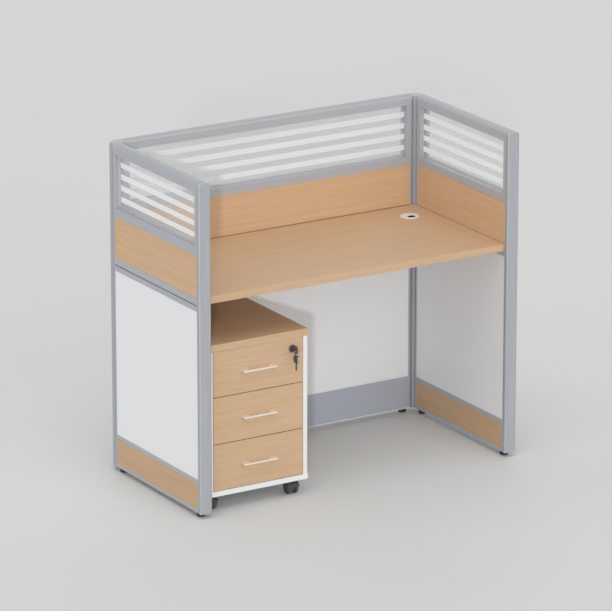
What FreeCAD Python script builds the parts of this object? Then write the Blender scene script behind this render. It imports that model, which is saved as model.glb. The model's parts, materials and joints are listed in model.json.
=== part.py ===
import FreeCAD, Part
import os
from FreeCAD import Vector

# Office desk: a worktop held between three framed screens, with a mobile drawer pedestal.
# Millimetres. X runs to the sitter's right, Y to the back, Z up.
# The origin is on the floor, at the bottom centre of the whole desk.

# Overall plan, over the screens: the end trims stand a little proud of them
width = 1226.0
depth = 620.0
screen_t = 40.0

# Screen heights, one stretch above the other from the floor up
rail_clear = 17.0
bottom_rail_h = 13.0
kick_panel_h = 88.0
kick_rail_h = 14.0
centre_panel_h = 573.0
lower_desk_rail_h = 19.0
desk_rail_gap = 2.0
upper_desk_rail_h = 24.0
upper_panel_h = 143.0
mid_rail_h = 29.0
glass_h = 181.5
top_rail_h = 16.5
cap_h = 16.0

# Screen details
stile_w = 10.0
glass_jamb_w = 12.0
panel_recess = 1.5
glass_t = 8.0
bead_w = 6.0
bead_edge = 3.0
bead_d = 9.0
cap_edge_flat = 8.0
trim_d = 11.0
trim_lap = 2.0
trim_round = 5.0
post_size = 50.0
post_land = 8.0
post_top_round = 7.0
kick_plate_t = 1.5
kick_plate_lip = 5.0
kick_plate_lap = 0.5

# Worktop, its brackets and their screws
worktop_t = 25.0
worktop_setback = 18.0
notch_clear = 0.5
bracket_leg = 28.0
bracket_w = 40.0
bracket_t = 2.5
side_bracket_inset = 110.0
back_bracket_x = 250.0
screw_d = 4.0
screw_head_d = 8.0
screw_head_h = 2.0
screw_len = 18.0
screw_fit = 0.1

# Cable grommet in the worktop
grommet_from_side = 93.0
grommet_from_back = 116.0
grommet_flange_d = 66.0
grommet_flange_h = 2.0
grommet_seat = 1.0
grommet_seat_clear = 0.3
grommet_sleeve_d = 59.0
grommet_sleeve_wall = 4.5
grommet_sleeve_h = 22.0
grommet_hole_clear = 0.5
grommet_cap_d = 54.0
grommet_cap_t = 3.0
grommet_slot_w = 26.0
grommet_slot_l = 21.0
grommet_slot_rim = 4.0
grommet_slot_round = 7.0

# Levelling feet
foot_pad_d = 27.0
foot_pad_h = 12.0
foot_pad_chamfer = 2.0
foot_stem_d = 8.0
foot_stem_reach = 10.0
foot_front_inset = 27.0
foot_back_inset = 21.0

# Pedestal carcass
pedestal_w = 380.0
pedestal_side_gap = 10.5
pedestal_setback = 40.0
pedestal_back_gap = 40.0
pedestal_top_t = 25.0
pedestal_base_t = 18.0
pedestal_side_t = 16.0
pedestal_back_t = 12.0
pedestal_overhang = 2.5

# Drawers
low_front_h = 159.0
top_front_h = 154.4
front_gap = 2.0
top_front_gap = 0.6
front_t = 18.0
box_board_t = 12.0
box_floor_t = 6.0
box_back_gap = 30.0
box_lift = 14.0
box_drop = 45.0
runner_d = 11.0
runner_h = 36.0
runner_wall = 2.0
runner_setback = 4.0
runner_back_gap = 30.0
slide_air = 1.5
slide_clear = 0.3
slide_back_gap = 45.0

# Handles
handle_len = 129.0
handle_h = 5.0
handle_reach = 22.0
handle_leg_w = 25.5
handle_bar_d = 8.0
handle_round = 6.0

# Lock, key and spare key
lock_from_edge = 40.0
lock_from_top = 34.4
rosette_d = 26.0
rosette_h = 3.0
barrel_d = 18.0
barrel_fit = 0.1
barrel_tail = 6.0
plug_d = 12.0
cam_len = 26.0
cam_w = 12.0
cam_t = 2.5
key_blade_t = 2.2
key_blade_w = 7.6
key_blade_len = 24.0
key_slot_clear = 0.1
key_neck = 2.0
key_bow_len = 26.5
key_bow_w = 27.0
key_bow_t = 6.0
key_bow_round = 8.0
key_hole_d = 5.0
key_hole_rim = 3.0
ring_r = 10.5
ring_wire_d = 1.8
ring_clear = 0.9

# Casters
wheel_d = 40.0
wheel_w = 12.0
wheel_round = 1.5
wheel_dome = 6.0
caster_h = 53.0
caster_trail = 12.0
front_left_swivel = -90.0
caster_inset_x = 42.0
caster_inset_y = 48.0
caster_stem_d = 8.0
caster_stem_reach = 12.0
caster_web_w = 16.0
caster_web_clear = 5.0
caster_collar_d = 22.0
caster_collar_h = 7.0
caster_axle_d = 6.0
wheel_air = 0.5
hood_air = 1.0
hood_wall = 2.0
hood_lift = 7.0

# Shared clearances and the overrun of every cut
running_fit = 0.05
overrun = 5.0

# Heights and places worked out from the sizes above
z_bottom_rail = rail_clear
z_kick_panel = z_bottom_rail + bottom_rail_h
z_kick_rail = z_kick_panel + kick_panel_h
z_centre_panel = z_kick_rail + kick_rail_h
z_lower_desk_rail = z_centre_panel + centre_panel_h
z_upper_desk_rail = z_lower_desk_rail + lower_desk_rail_h + desk_rail_gap
z_desk = z_upper_desk_rail + upper_desk_rail_h
z_mid_rail = z_desk + upper_panel_h
z_glass = z_mid_rail + mid_rail_h
z_top_rail = z_glass + glass_h
z_cap = z_top_rail + top_rail_h
z_top = z_cap + cap_h
z_desk_under = z_desk - worktop_t

front_y = -depth / 2
back_y = depth / 2
inner_x = width / 2 - screen_t
inner_back_y = back_y - screen_t
side_len = depth - trim_d - post_size
back_len = width - 2 * post_size

pedestal_left = -inner_x + pedestal_side_gap
pedestal_right = pedestal_left + pedestal_w
pedestal_front = front_y + pedestal_setback
pedestal_rear = inner_back_y - pedestal_back_gap
carcass_left = pedestal_left + pedestal_overhang
carcass_right = pedestal_right - pedestal_overhang
cavity_left = carcass_left + pedestal_side_t
cavity_right = carcass_right - pedestal_side_t
z_cavity = caster_h + pedestal_base_t
z_pedestal_top = z_cavity + 2 * low_front_h + top_front_h + 3 * front_gap + top_front_gap
front_rear = pedestal_front + front_t
back_front = pedestal_rear - pedestal_back_t

drawers = (
    ("drawer_bottom", z_cavity + front_gap, low_front_h),
    ("drawer_middle", z_cavity + 2 * front_gap + low_front_h, low_front_h),
    ("drawer_top", z_cavity + 3 * front_gap + 2 * low_front_h, top_front_h),
)
lock_x = cavity_right - front_gap - lock_from_edge
lock_z = z_pedestal_top - top_front_gap - lock_from_top
grommet_x = inner_x - grommet_from_side
grommet_y = inner_back_y - grommet_from_back

X_AXIS = Vector(1, 0, 0)
Y_AXIS = Vector(0, 1, 0)
Z_AXIS = Vector(0, 0, 1)
ORIGIN = Vector(0, 0, 0)


def slab(x0, x1, y0, y1, z0, z1):
    """A box between two corners."""
    return Part.makeBox(x1 - x0, y1 - y0, z1 - z0, Vector(x0, y0, z0))


def rod(diameter, length, x, y, z, axis=Z_AXIS):
    """A cylinder that starts at a point and runs along an axis."""
    return Part.makeCylinder(diameter / 2, length, Vector(x, y, z), axis)


def prism(points, direction):
    """A straight extrusion of a closed outline of straight edges."""
    outline = Part.makePolygon([Vector(*p) for p in points] + [Vector(*points[0])])
    return Part.Face(outline).extrude(direction)


def edges_where(shape, test):
    """The edges of a shape whose bounding box passes a test."""
    return [edge for edge in shape.Edges if test(edge.BoundBox)]


def rounded_block(x0, x1, y0, y1, z0, z1, radius):
    """A box with its four upright edges rounded."""
    block = slab(x0, x1, y0, y1, z0, z1)
    upright = edges_where(block, lambda b: b.ZLength > b.XLength + b.YLength)
    return block.makeFillet(radius, upright)


def save(name, *solids):
    """Write one node: a single solid, or a group of separate solids."""
    shape = solids[0] if len(solids) == 1 else Part.makeCompound(list(solids))
    shape.exportStep(os.path.join("parts", name + ".step"))
    print(name, len(shape.Solids), "solids", "valid" if shape.isValid() else "NOT VALID")


# Screens. Each is built along X from 0, inner face at Y 0, and then set in its place.

def on_left(shape):
    moved = shape.copy()
    moved.rotate(ORIGIN, Z_AXIS, 90)
    moved.translate(Vector(-inner_x, front_y + trim_d, 0))
    return moved


def on_right(shape):
    moved = shape.copy()
    moved.rotate(ORIGIN, Z_AXIS, -90)
    moved.translate(Vector(inner_x, back_y - post_size, 0))
    return moved


def on_back(shape):
    moved = shape.copy()
    moved.translate(Vector(-back_len / 2, inner_back_y, 0))
    return moved


def cap_section(x, z0, z1, lap=0):
    """The outline of a screen from z0 up to a top with two rounded shoulders, wider by a lap."""
    radius = z1 - max(z0, z_cap) - cap_edge_flat
    bend = radius * (1 - 0.5 ** 0.5)
    inner = -lap
    outer = screen_t + lap
    start = Vector(x, inner, z0)
    inner_low = Vector(x, inner, z1 - radius)
    inner_high = Vector(x, inner + radius, z1)
    outer_high = Vector(x, outer - radius, z1)
    outer_low = Vector(x, outer, z1 - radius)
    end = Vector(x, outer, z0)
    edges = [
        Part.LineSegment(start, inner_low),
        Part.Arc(inner_low, Vector(x, inner + bend, z1 - bend), inner_high),
        Part.LineSegment(inner_high, outer_high),
        Part.Arc(outer_high, Vector(x, outer - bend, z1 - bend), outer_low),
        Part.LineSegment(outer_low, end),
        Part.LineSegment(end, start),
    ]
    return Part.Face(Part.Wire([edge.toShape() for edge in edges]))


def foot_places(length, start_inset, end_inset):
    """Where the two feet of a screen stand along its length."""
    return (start_inset, length - end_inset)


def bracket_places(length, side):
    """Where the two worktop brackets of a screen sit along its length."""
    if side == "back":
        return (length / 2 - back_bracket_x, length / 2 + back_bracket_x)
    return (side_bracket_inset, length - side_bracket_inset)


def screen_frame(length, feet, brackets):
    """Stiles, glass jambs, rails and a rounded cap, drilled for the feet and bracket screws."""
    glass_start = stile_w + glass_jamb_w
    bars = [
        slab(0, stile_w, 0, screen_t, z_bottom_rail, z_cap),
        slab(length - stile_w, length, 0, screen_t, z_bottom_rail, z_cap),
        slab(stile_w, glass_start, 0, screen_t, z_glass, z_top_rail),
        slab(length - glass_start, length - stile_w, 0, screen_t, z_glass, z_top_rail),
    ]
    rails = (
        (z_bottom_rail, bottom_rail_h),
        (z_kick_rail, kick_rail_h),
        (z_lower_desk_rail, lower_desk_rail_h),
        (z_upper_desk_rail, upper_desk_rail_h),
        (z_mid_rail, mid_rail_h),
        (z_top_rail, top_rail_h),
    )
    for z, height in rails:
        bars.append(slab(stile_w, length - stile_w, 0, screen_t, z, z + height))
    socket_d = foot_stem_d + 2 * running_fit
    drills = [rod(socket_d, foot_stem_reach, u, screen_t / 2, rail_clear) for u in feet]
    pilot_d = screw_d + 2 * screw_fit
    for u in brackets:
        drills.append(rod(pilot_d, screw_len, u, 0, bracket_screw_z(), Y_AXIS))
    drilled = []
    for bar in bars:
        for drill in drills:
            if bar.BoundBox.intersect(drill.BoundBox):
                bar = bar.cut(drill)
        drilled.append(bar)
    drilled.append(cap_section(0, z_cap, z_top).extrude(Vector(length, 0, 0)))
    return drilled


def infill(length, z, height):
    """A board that fills the frame between two rails, a little behind its faces."""
    return slab(stile_w, length - stile_w, panel_recess, screen_t - panel_recess, z, z + height)


def glass_pane(length):
    """A pane between the two jambs, in the middle of the frame's thickness."""
    middle = screen_t / 2
    start = stile_w + glass_jamb_w
    return slab(start, length - start, middle - glass_t / 2, middle + glass_t / 2,
                z_glass, z_top_rail)


def glazing_beads(length):
    """Four mitred beads that hold the pane in its frame, on the outer face of the glass."""
    x0 = stile_w + glass_jamb_w
    x1 = length - x0
    z0 = z_glass
    z1 = z_top_rail
    rise = glass_h / 2
    left = (x0 + rise, 0, z0 + rise)
    right = (x1 - rise, 0, z0 + rise)
    quarters = (
        ((x0, 0, z0), (x1, 0, z0), right, left),
        ((x1, 0, z0), (x1, 0, z1), right),
        ((x1, 0, z1), (x0, 0, z1), left, right),
        ((x0, 0, z1), (x0, 0, z0), left),
    )
    near = screen_t / 2 + glass_t / 2
    far = near + bead_d
    ends = []
    for y, inset in ((near, bead_w), (far, bead_edge)):
        low = z0 + inset
        high = z1 - inset
        corners = [Vector(x0 + inset, y, low), Vector(x1 - inset, y, low),
                   Vector(x1 - inset, y, high), Vector(x0 + inset, y, high)]
        ends.append(Part.makePolygon(corners + corners[:1]))
    ring = slab(x0, x1, near, far, z0, z1).cut(Part.makeLoft(ends, True, True))
    return [bead for quarter in quarters
            for bead in ring.common(prism(quarter, Vector(0, screen_t, 0))).Solids]


def back_kick_plate(length):
    """A skirting cover: a filled duct with a face sheet over both rails and a foot lip."""
    z_low = z_bottom_rail + kick_plate_lap
    z_high = z_centre_panel + kick_plate_lap
    outline = (
        (stile_w, screen_t - panel_recess, z_kick_panel),
        (stile_w, screen_t - panel_recess, z_kick_rail),
        (stile_w, 0, z_kick_rail),
        (stile_w, 0, z_high),
        (stile_w, -kick_plate_t, z_high),
        (stile_w, -kick_plate_t, z_low + kick_plate_t),
        (stile_w, -kick_plate_lip, z_low + kick_plate_t),
        (stile_w, -kick_plate_lip, z_low),
        (stile_w, 0, z_low),
        (stile_w, 0, z_kick_panel),
    )
    return prism(outline, Vector(length - 2 * stile_w, 0, 0))


def end_trim():
    """The bull-nosed strip that closes the front end of a side screen, proud of both its faces."""
    strip = cap_section(0, z_bottom_rail, z_top, trim_lap).extrude(Vector(trim_d, 0, 0))
    nose = edges_where(strip, lambda b: b.XMax < trim_d / 2 and b.ZMax > z_bottom_rail + trim_d)
    return strip.makeFillet(trim_round, nose)


def corner_post():
    """A square post with a quarter-round outer corner and a soft top."""
    radius = post_size - post_land
    bend = post_land + radius * 0.5 ** 0.5
    z = z_bottom_rail
    near = Vector(0, 0, z)
    right = Vector(post_size, 0, z)
    arc_start = Vector(post_size, post_land, z)
    arc_middle = Vector(bend, bend, z)
    arc_end = Vector(post_land, post_size, z)
    left = Vector(0, post_size, z)
    edges = [
        Part.LineSegment(near, right),
        Part.LineSegment(right, arc_start),
        Part.Arc(arc_start, arc_middle, arc_end),
        Part.LineSegment(arc_end, left),
        Part.LineSegment(left, near),
    ]
    plan = Part.Face(Part.Wire([edge.toShape() for edge in edges]))
    post = plan.extrude(Vector(0, 0, z_top - z))
    return post.makeFillet(post_top_round, edges_where(post, lambda b: b.ZMin > z_cap))


def mirrored(shape):
    return shape.mirror(ORIGIN, X_AXIS)


def make_screens():
    side_feet = foot_places(side_len, foot_front_inset, foot_back_inset)
    back_feet = foot_places(back_len, foot_back_inset, foot_back_inset)
    right_feet = foot_places(side_len, foot_back_inset, foot_front_inset)
    screens = (
        ("left", on_left, side_len, side_feet, ("front", "back")),
        ("back", on_back, back_len, back_feet, ("left", "right")),
        ("right", on_right, side_len, right_feet, ("back", "front")),
    )
    for side, place, length, feet, ends in screens:
        frame = screen_frame(length, feet, bracket_places(length, side))
        frame += glazing_beads(length)
        save(side + "_frame", *[place(bar) for bar in frame])
        save(side + "_glass", place(glass_pane(length)))
        save(side + "_upper_panel", place(infill(length, z_desk, upper_panel_h)))
        save(side + "_centre_panel", place(infill(length, z_centre_panel, centre_panel_h)))
        if side == "back":
            save("back_kick_plate", place(back_kick_plate(length)))
        else:
            save(side + "_kick_panel", place(infill(length, z_kick_panel, kick_panel_h)))
        for end, u in zip(ends, feet):
            save("foot_" + side + "_" + end, place(levelling_foot(u)))
    trim = on_left(end_trim())
    trim.translate(Vector(0, -trim_d, 0))
    save("left_end_trim", trim)
    save("right_end_trim", mirrored(trim))
    post = corner_post()
    post.translate(Vector(width / 2 - post_size, back_y - post_size, 0))
    save("right_corner_post", post)
    save("left_corner_post", mirrored(post))


def levelling_foot(u):
    """A round pad on a threaded stem that turns in its socket in the frame."""
    middle = screen_t / 2
    pad = rod(foot_pad_d, foot_pad_h, u, middle, 0)
    pad = pad.makeChamfer(foot_pad_chamfer, edges_where(pad, lambda b: b.ZMin > foot_pad_h / 2))
    stem = rod(foot_stem_d, rail_clear + foot_stem_reach - foot_pad_h, u, middle, foot_pad_h)
    return pad.fuse(stem).removeSplitter()


# Worktop

def bracket_screw_z():
    return z_desk_under - bracket_t - (bracket_leg - bracket_t) / 2


def bracket_screw_y():
    return -bracket_t - (bracket_leg - bracket_t) / 2


def bracket(u):
    """An angle bracket under the worktop, against a screen's inner face at Y 0."""
    half = bracket_w / 2
    z = z_desk_under
    flat = slab(u - half, u + half, -bracket_leg, 0, z - bracket_t, z)
    upright = slab(u - half, u + half, -bracket_t, 0, z - bracket_leg, z - bracket_t)
    hole_d = screw_d + 2 * screw_fit
    up_hole = rod(hole_d, bracket_leg, u, bracket_screw_y(), z - bracket_leg)
    side_hole = rod(hole_d, bracket_leg, u, -bracket_leg, bracket_screw_z(), Y_AXIS)
    return flat.fuse(upright).removeSplitter().cut(up_hole).cut(side_hole)


def screw():
    """A pan-head screw along Z: head below 0, shank above."""
    head = rod(screw_head_d, screw_head_h, 0, 0, -screw_head_h)
    shank = rod(screw_d, screw_len - screw_fit, 0, 0, 0)
    return head.fuse(shank).removeSplitter()


def bracket_screws(u):
    up = screw()
    up.translate(Vector(u, bracket_screw_y(), z_desk_under - bracket_t))
    side = screw()
    side.rotate(ORIGIN, X_AXIS, -90)
    side.translate(Vector(u, -bracket_t, bracket_screw_z()))
    return up, side


def worktop(pilots):
    board = slab(-inner_x, inner_x, front_y + worktop_setback, inner_back_y, z_desk_under, z_desk)
    notch = post_size - screen_t + notch_clear
    low = z_desk_under - overrun
    high = z_desk + overrun
    for side in (-1, 1):
        x0 = min(side * inner_x, side * (inner_x - notch))
        board = board.cut(slab(x0, x0 + notch, inner_back_y - notch, inner_back_y, low, high))
    hole_d = grommet_sleeve_d + 2 * grommet_hole_clear
    board = board.cut(rod(hole_d, high - low, grommet_x, grommet_y, low))
    seat_d = grommet_flange_d + 2 * grommet_seat_clear
    board = board.cut(rod(seat_d, grommet_seat + overrun, grommet_x, grommet_y,
                          z_desk - grommet_seat))
    for pilot in pilots:
        board = board.cut(pilot)
    return board


def grommet_ring():
    x, y = grommet_x, grommet_y
    seat_z = z_desk + grommet_flange_h - grommet_cap_t
    flange = rod(grommet_flange_d, grommet_seat + grommet_flange_h, x, y, z_desk - grommet_seat)
    sleeve = rod(grommet_sleeve_d, grommet_sleeve_h, x, y, z_desk - grommet_sleeve_h)
    bore_d = grommet_sleeve_d - 2 * grommet_sleeve_wall
    ring = flange.fuse(sleeve).removeSplitter()
    ring = ring.cut(rod(grommet_cap_d + 2 * running_fit, grommet_cap_t + overrun, x, y, seat_z))
    return ring.cut(rod(bore_d, grommet_sleeve_h + overrun, x, y, z_desk - grommet_sleeve_h))


def grommet_cap():
    """A disc that turns in the ring, with a slot for cables near its rim."""
    x, y = grommet_x, grommet_y
    z = z_desk + grommet_flange_h - grommet_cap_t
    disc = rod(grommet_cap_d, grommet_cap_t, x, y, z)
    slot_front = y - grommet_cap_d / 2 + grommet_slot_rim
    half = grommet_slot_w / 2
    slot = rounded_block(x - half, x + half, slot_front, slot_front + grommet_slot_l,
                         z - overrun, z + grommet_cap_t + overrun, grommet_slot_round)
    return disc.cut(slot)


def make_worktop():
    brackets = []
    screws = []
    pilots = []
    seats = (("left", on_left, side_len), ("back", on_back, back_len), ("right", on_right, side_len))
    for side, place, length in seats:
        for u in bracket_places(length, side):
            brackets.append(place(bracket(u)))
            screws += [place(one) for one in bracket_screws(u)]
            pilot = rod(screw_d + 2 * screw_fit, screw_len, u, bracket_screw_y(),
                        z_desk_under - bracket_t)
            pilots.append(place(pilot))
    save("worktop", worktop(pilots))
    save("worktop_brackets", *brackets)
    save("bracket_screws", *screws)
    save("grommet_ring", grommet_ring())
    save("grommet_cap", grommet_cap())


# Pedestal

def make_carcass():
    z_base = caster_h
    top = slab(pedestal_left, pedestal_right, pedestal_front, pedestal_rear,
               z_pedestal_top, z_pedestal_top + pedestal_top_t)
    base = slab(pedestal_left, pedestal_right, pedestal_front, pedestal_rear, z_base, z_cavity)
    socket_d = caster_stem_d + 2 * running_fit
    for _, x, y, _ in caster_places():
        base = base.cut(rod(socket_d, caster_stem_reach, x, y, z_base))
    save("pedestal_top", top)
    save("pedestal_base", base)
    save("pedestal_left_side", slab(carcass_left, cavity_left, pedestal_front, pedestal_rear,
                                    z_cavity, z_pedestal_top))
    save("pedestal_right_side", slab(cavity_right, carcass_right, pedestal_front, pedestal_rear,
                                     z_cavity, z_pedestal_top))
    save("pedestal_back", slab(cavity_left, cavity_right, back_front, pedestal_rear,
                               z_cavity, z_pedestal_top))


def runner_channel(x, z, hand):
    """A channel on a carcass side at x, open towards the drawer; hand is 1 on the left."""
    far = x + hand * runner_d
    web = x + hand * runner_wall
    y0 = front_rear + runner_setback
    y1 = back_front - runner_back_gap
    half = runner_h / 2
    whole = slab(min(x, far), max(x, far), y0, y1, z - half, z + half)
    deep = far + hand * overrun
    groove = slab(min(web, deep), max(web, deep), y0 - overrun, y1 + overrun,
                  z - half + runner_wall, z + half - runner_wall)
    return whole.cut(groove)


def slide_bar(x, z, hand):
    """The bar on a drawer's side that runs in the channel on the carcass side at x."""
    inner = x + hand * (runner_wall + slide_clear)
    outer = x + hand * (runner_d + slide_air)
    half = runner_h / 2 - runner_wall - slide_clear
    return slab(min(inner, outer), max(inner, outer), front_rear, back_front - slide_back_gap,
                z - half, z + half)


def drawer_box(z, height):
    """Two sides, a back and a floor behind a drawer front."""
    left = cavity_left + runner_d + slide_air
    right = cavity_right - runner_d - slide_air
    rear = back_front - box_back_gap
    top = z + height
    in_left = left + box_board_t
    in_right = right - box_board_t
    return [
        slab(left, in_left, front_rear, rear, z, top),
        slab(in_right, right, front_rear, rear, z, top),
        slab(in_left, in_right, rear - box_board_t, rear, z, top),
        slab(in_left, in_right, front_rear, rear - box_board_t, z, z + box_floor_t),
    ]


def drawer_handle(z):
    """A flat plate handle: two broad legs on the drawer front, joined by a grip bar."""
    x = (pedestal_left + pedestal_right) / 2
    tip = pedestal_front - handle_reach
    half = handle_len / 2
    gap_half = half - handle_leg_w
    z0 = z - handle_h / 2
    z1 = z + handle_h / 2
    plate = slab(x - half, x + half, tip, pedestal_front, z0, z1)
    corners = edges_where(plate, lambda b: b.YMax < pedestal_front and b.XLength < handle_leg_w)
    plate = plate.makeFillet(handle_round, corners)
    return plate.cut(slab(x - gap_half, x + gap_half, tip + handle_bar_d,
                          pedestal_front + overrun, z0 - overrun, z1 + overrun))


def make_drawers():
    runners = []
    for name, z, height in drawers:
        front = slab(cavity_left + front_gap, cavity_right - front_gap,
                     pedestal_front, front_rear, z, z + height)
        if name == "drawer_top":
            front = front.cut(rod(barrel_d + 2 * barrel_fit, front_t + 2 * overrun,
                                  lock_x, pedestal_front - overrun, lock_z, Y_AXIS))
        z_box = z + box_lift
        box_h = height - box_lift - box_drop
        z_slide = z_box + box_h / 2
        save(name + "_front", front)
        save(name + "_box", *drawer_box(z_box, box_h))
        save(name + "_handle", drawer_handle(z + height / 2))
        save(name + "_slides", slide_bar(cavity_left, z_slide, 1),
             slide_bar(cavity_right, z_slide, -1))
        runners.append(runner_channel(cavity_left, z_slide, 1))
        runners.append(runner_channel(cavity_right, z_slide, -1))
    save("pedestal_runners", *runners)


# Lock and keys

def key_shape():
    """A flat key along Y: its blade runs back from 0, its bow stands out in front of 0."""
    half_bow = key_bow_w / 2
    near = -key_neck
    far = near - key_bow_len
    half_t = key_bow_t / 2
    bow = slab(-half_t, half_t, far, near, -half_bow, half_bow)
    bow = bow.makeFillet(key_bow_round, edges_where(bow, lambda b: b.XLength > key_bow_t / 2))
    hole_y = far + key_hole_rim + key_hole_d / 2
    bow = bow.cut(rod(key_hole_d, key_bow_t + 2 * overrun, -half_t - overrun, hole_y, 0, X_AXIS))
    half_blade_t = key_blade_t / 2
    half_blade_w = key_blade_w / 2
    blade = slab(-half_blade_t, half_blade_t, near, key_blade_len, -half_blade_w, half_blade_w)
    return bow.fuse(blade).removeSplitter(), hole_y


def make_lock():
    face = pedestal_front
    barrel_end = front_rear + barrel_tail
    rosette = rod(rosette_d, rosette_h, lock_x, face - rosette_h, lock_z, Y_AXIS)
    barrel = rod(barrel_d, barrel_end - face, lock_x, face, lock_z, Y_AXIS)
    length = barrel_end - face + rosette_h
    bore = rod(plug_d + 2 * running_fit, length, lock_x, face - rosette_h, lock_z, Y_AXIS)
    save("lock_barrel", rosette.fuse(barrel).removeSplitter().cut(bore))

    mouth = face - rosette_h
    half_slot = key_blade_t / 2 + key_slot_clear
    half_wide = key_blade_w / 2 + key_slot_clear
    slot = slab(lock_x - half_slot, lock_x + half_slot, mouth - overrun,
                mouth + key_blade_len + key_slot_clear, lock_z - half_wide, lock_z + half_wide)
    plug = rod(plug_d, length, lock_x, mouth, lock_z, Y_AXIS).cut(slot)
    cam = rounded_cam(barrel_end)
    save("lock_plug", plug, cam)

    key, hole_y = key_shape()
    in_lock = key.copy()
    in_lock.translate(Vector(lock_x, mouth, lock_z))
    save("lock_key", in_lock)

    hang = (key_hole_d - ring_wire_d) / 2 - ring_clear
    ring_y = mouth + hole_y
    ring_z = lock_z - hang - ring_r
    ring = Part.makeTorus(ring_r, ring_wire_d / 2, Vector(lock_x, ring_y, ring_z), Y_AXIS)
    spare = key.copy()
    spare.translate(Vector(0, -hole_y, 0))
    spare.rotate(ORIGIN, X_AXIS, -90)
    spare.translate(Vector(lock_x, ring_y, ring_z - ring_r - hang))
    save("spare_key", ring, spare)


def rounded_cam(y):
    """The tongue on the back of the plug; it lies level when the lock is open."""
    half = cam_w / 2
    bar = slab(lock_x - cam_len + half, lock_x, y, y + cam_t, lock_z - half, lock_z + half)
    hub = rod(cam_w, cam_t, lock_x, y, lock_z, Y_AXIS)
    tip = rod(cam_w, cam_t, lock_x - cam_len + half, y, lock_z, Y_AXIS)
    return bar.fuse(hub).fuse(tip).removeSplitter()


# Casters

def caster_places():
    """The casters' corners, stems and swivel angles; one trails sideways, as it was pushed in."""
    left = carcass_left + caster_inset_x
    right = carcass_right - caster_inset_x
    front = pedestal_front + caster_inset_y
    rear = pedestal_rear - caster_inset_y
    return (("front_left", left, front, front_left_swivel), ("front_right", right, front, 0),
            ("back_left", left, rear, 0), ("back_right", right, rear, 0))


def caster_fork(x, y):
    """A stem and collar over a central web, with a hood curved over both wheels."""
    axle_y = y - caster_trail
    axle_z = wheel_d / 2
    web_half = caster_web_w / 2
    body_half = web_half + wheel_air + wheel_w
    web = rod(wheel_d - 2 * caster_web_clear, caster_web_w, x - web_half, axle_y, axle_z, X_AXIS)
    hood_in = wheel_d + 2 * hood_air
    hood = rod(hood_in + 2 * hood_wall, 2 * body_half, x - body_half, axle_y, axle_z, X_AXIS)
    hood = hood.cut(rod(hood_in, 2 * (body_half + overrun), x - body_half - overrun,
                        axle_y, axle_z, X_AXIS))
    reach = wheel_d
    hood = hood.common(slab(x - reach, x + reach, axle_y - reach, axle_y + reach,
                            axle_z + hood_lift, caster_h))
    neck = slab(x - web_half, x + web_half, axle_y, y, axle_z, caster_h)
    collar = rod(caster_collar_d, caster_collar_h, x, y, caster_h - caster_collar_h)
    stem = rod(caster_stem_d, caster_stem_reach, x, y, caster_h)
    wheel_room = rod(hood_in, wheel_w + wheel_air, x + web_half, axle_y, axle_z, X_AXIS)
    other_room = rod(hood_in, wheel_w + wheel_air, x - body_half, axle_y, axle_z, X_AXIS)
    collar = collar.cut(wheel_room).cut(other_room)
    fork = web.fuse(neck).fuse(collar).fuse(stem).fuse(hood).removeSplitter()
    bore = rod(caster_axle_d + 2 * running_fit, caster_web_w + 2 * overrun,
               x - web_half - overrun, axle_y, axle_z, X_AXIS)
    return fork.cut(bore)


def caster_wheels(x, y):
    """Two wheels with domed outer faces, and the axle that carries them."""
    axle_y = y - caster_trail
    axle_z = wheel_d / 2
    inner = caster_web_w / 2 + wheel_air
    outer = inner + wheel_w
    bore_d = caster_axle_d + 2 * running_fit
    solids = []
    for start, rim in ((x + inner, x + outer), (x - outer, x - outer)):
        tyre = rod(wheel_d, wheel_w, start, axle_y, axle_z, X_AXIS)
        near_web = edges_where(tyre, lambda b: b.XLength < wheel_round < abs(b.XMin - rim))
        tyre = tyre.makeFillet(wheel_round, near_web)
        outside = edges_where(tyre, lambda b: b.XLength + abs(b.XMin - rim) < wheel_round)
        tyre = tyre.makeFillet(wheel_dome, outside)
        solids.append(tyre.cut(rod(bore_d, wheel_w, start, axle_y, axle_z, X_AXIS)))
    solids.append(rod(caster_axle_d, 2 * outer, x - outer, axle_y, axle_z, X_AXIS))
    return solids


def make_casters():
    for corner, x, y, swivel in caster_places():
        fork = caster_fork(x, y)
        wheels = caster_wheels(x, y)
        for shape in [fork] + wheels:
            shape.rotate(Vector(x, y, 0), Z_AXIS, swivel)
        save("caster_" + corner + "_fork", fork)
        save("caster_" + corner + "_wheels", *wheels)


os.makedirs("parts", exist_ok=True)
make_screens()
make_worktop()
make_carcass()
make_drawers()
make_lock()
make_casters()
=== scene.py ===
import bmesh
import bpy
import json
import math
from mathutils import Matrix, Vector

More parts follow.
